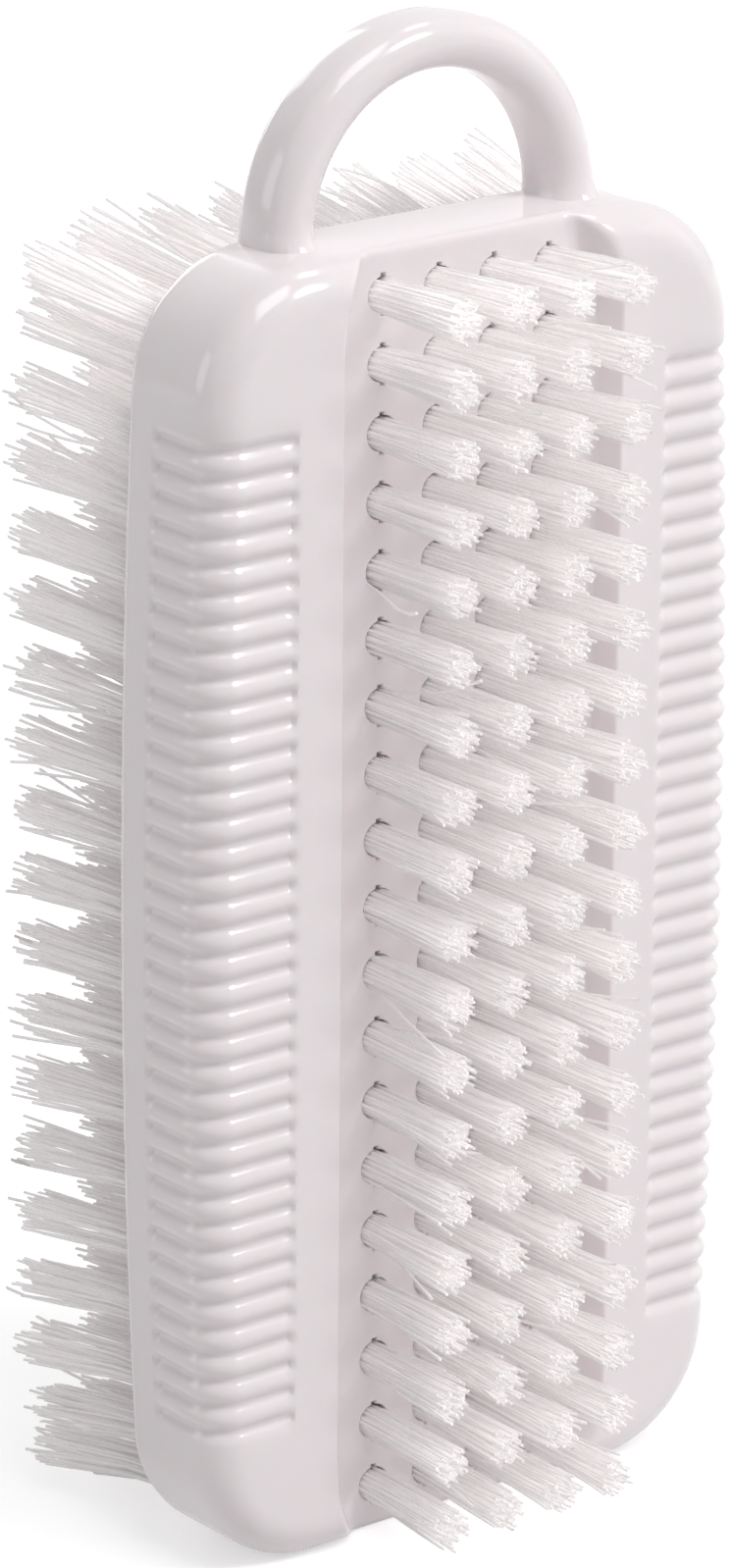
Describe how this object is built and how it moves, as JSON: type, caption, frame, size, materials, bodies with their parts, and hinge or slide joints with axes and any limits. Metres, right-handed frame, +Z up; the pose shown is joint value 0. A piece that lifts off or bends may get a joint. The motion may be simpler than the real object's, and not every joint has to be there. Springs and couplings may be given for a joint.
{
  "type": "nail brush",
  "caption": "Double-sided nail brush with ribbed grips and a hanging loop: a narrow bristle field in a front channel and a full-width field of longer bristles on the back.",
  "frame": {"origin": "under the middle of the object's box, on the flat end that it stands on", "axes": "+Z up along the brush towards its loop, +Y towards the wide back field, X across the brush"},
  "size_m": [0.0586, 0.0362, 0.1317],
  "materials": {
    "moulded_plastic": "glossy white moulding",
    "bristle_filament": "clear to white drawn filament with cut ends",
    "anchor_wire": "drawn flat wire"
  },
  "bodies": {
    "root": {"handle_body": "moulded_plastic", "front_tufts_row_01": "bristle_filament", "front_tufts_row_02": "bristle_filament", "front_tufts_row_03": "bristle_filament", "front_tufts_row_04": "bristle_filament", "front_tufts_row_05": "bristle_filament", "front_tufts_row_06": "bristle_filament", "front_tufts_row_07": "bristle_filament", "front_tufts_row_08": "bristle_filament", "front_tufts_row_09": "bristle_filament", "front_tufts_row_10": "bristle_filament", "front_tufts_row_11": "bristle_filament", "front_tufts_row_12": "bristle_filament", "front_tufts_row_13": "bristle_filament", "front_tufts_row_14": "bristle_filament", "front_tufts_row_15": "bristle_filament", "front_tufts_row_16": "bristle_filament", "front_tufts_row_17": "bristle_filament", "front_tufts_row_18": "bristle_filament", "front_tufts_row_19": "bristle_filament", "back_tufts_row_01": "bristle_filament", "back_tufts_row_02": "bristle_filament", "back_tufts_row_03": "bristle_filament", "back_tufts_row_04": "bristle_filament", "back_tufts_row_05": "bristle_filament", "back_tufts_row_06": "bristle_filament", "back_tufts_row_07": "bristle_filament", "back_tufts_row_08": "bristle_filament", "back_tufts_row_09": "bristle_filament", "back_tufts_row_10": "bristle_filament", "back_tufts_row_11": "bristle_filament", "back_tufts_row_12": "bristle_filament", "back_tufts_row_13": "bristle_filament", "back_tufts_row_14": "bristle_filament", "back_tufts_row_15": "bristle_filament", "back_tufts_row_16": "bristle_filament", "back_tufts_row_17": "bristle_filament", "back_tufts_row_18": "bristle_filament", "back_tufts_row_19": "bristle_filament", "front_anchors_column_1": "anchor_wire", "front_anchors_column_2": "anchor_wire", "front_anchors_column_3": "anchor_wire", "front_anchors_column_4": "anchor_wire", "back_anchors_column_1": "anchor_wire", "back_anchors_column_2": "anchor_wire", "back_anchors_column_3": "anchor_wire", "back_anchors_column_4": "anchor_wire", "back_anchors_column_5": "anchor_wire", "back_anchors_column_6": "anchor_wire", "back_anchors_column_7": "anchor_wire", "back_anchors_column_8": "anchor_wire", "back_anchors_column_9": "anchor_wire"}
  },
  "joints": []
}
